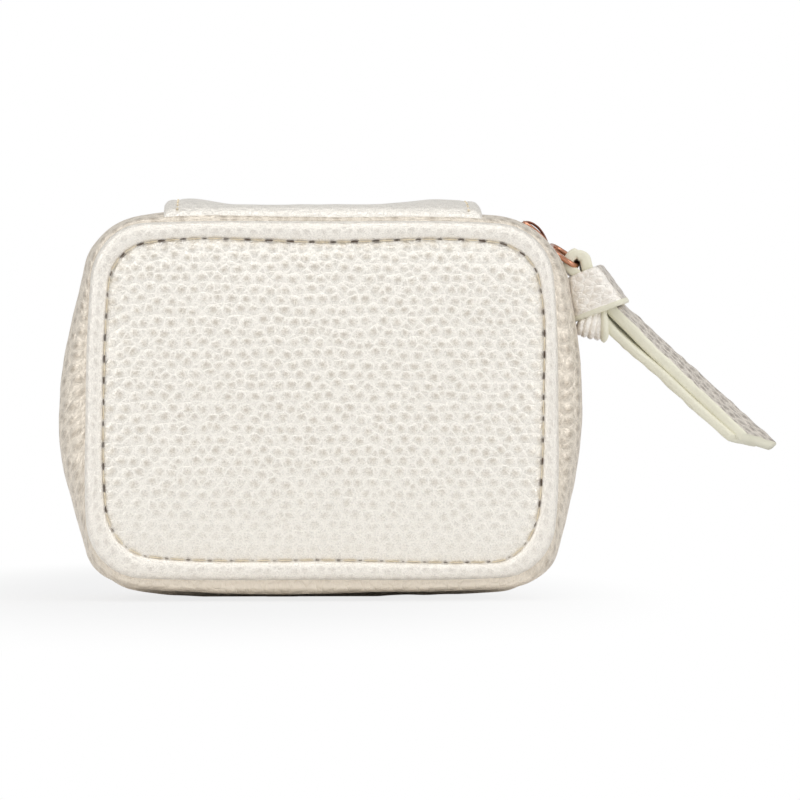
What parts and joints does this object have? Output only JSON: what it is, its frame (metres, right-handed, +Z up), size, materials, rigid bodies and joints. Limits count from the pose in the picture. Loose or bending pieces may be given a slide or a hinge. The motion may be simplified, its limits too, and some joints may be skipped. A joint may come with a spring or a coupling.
{
  "type": "zip-around travel jewelry box",
  "caption": "Small soft travel jewelry box in pearl pebbled leather, padded faces in piped rims, a zip round three sides, a sewn leather hinge and a knotted leather pull.",
  "frame": {"origin": "on the surface that the box stands on, under the middle of its depth and of its width", "axes": "+X to the right of the lid's face, +Y from the lid's face to the back, +Z up"},
  "size_m": [0.1586, 0.052, 0.0865],
  "materials": {
    "pearl_leather": "pearlescent pebbled",
    "board": "grey board",
    "foam": "soft padding",
    "welt_core": "extruded cord",
    "zip_tape": "woven tape",
    "rose_metal": "polished rose gold",
    "elastic": "ribbed elastic",
    "lining": "soft velvet"
  },
  "bodies": {
    "base": {"base_divider": "lining", "base_gusset": "pearl_leather", "base_lining_floor": "lining", "base_lining_wall": "lining", "base_panel_board": "board", "base_panel_foam": "foam", "base_panel_leather": "pearl_leather", "base_wall_board": "board", "base_welt": "pearl_leather", "base_welt_cord": "welt_core", "base_zip_stop": "rose_metal", "base_zip_tape": "zip_tape", "base_zip_teeth": "rose_metal", "hinge_lining": "lining", "hinge_panel": "pearl_leather", "ring_roll_1": "lining", "ring_roll_2": "lining", "ring_roll_3": "lining", "ring_roll_4": "lining", "ring_roll_5": "lining"},
    "lid": {"lid_gusset": "pearl_leather", "lid_lining_floor": "lining", "lid_lining_wall": "lining", "lid_panel_board": "board", "lid_panel_foam": "foam", "lid_panel_leather": "pearl_leather", "lid_pocket": "lining", "lid_wall_board": "board", "lid_welt": "pearl_leather", "lid_welt_cord": "welt_core", "lid_zip_stop": "rose_metal", "lid_zip_tape": "zip_tape", "lid_zip_teeth": "rose_metal", "pocket_elastic": "elastic"},
    "zip_slider": {"zip_slider": "rose_metal"},
    "pull_ring": {"pull_ring": "rose_metal"},
    "leather_pull": {"pull_strap": "pearl_leather", "pull_knot_band": "pearl_leather", "pull_knot_fold": "pearl_leather"}
  },
  "joints": [
    {"name": "lid_hinge", "type": "hinge", "parent": "base", "child": "lid", "pos_m": [0, -0.005, 0.085], "axis": [-1, 0, 0], "range_deg": [0, 150], "deforming": ["hinge_panel", "hinge_lining"]},
    {"name": "zip_slide", "type": "hinge", "parent": "base", "child": "zip_slider", "pos_m": [0.0375, -0.005, 0.0695], "axis": [0, 1, 0], "range_deg": [0, 12]},
    {"name": "ring_swing", "type": "hinge", "parent": "zip_slider", "child": "pull_ring", "pos_m": [0.05119, -0.005, 0.0776], "axis": [0, 1, 0], "range_deg": [-60, 0]},
    {"name": "pull_swing", "type": "hinge", "parent": "pull_ring", "child": "leather_pull", "pos_m": [0.0569, -0.005, 0.0739], "axis": [0, 1, 0], "range_deg": [-50, 0]}
  ]
}
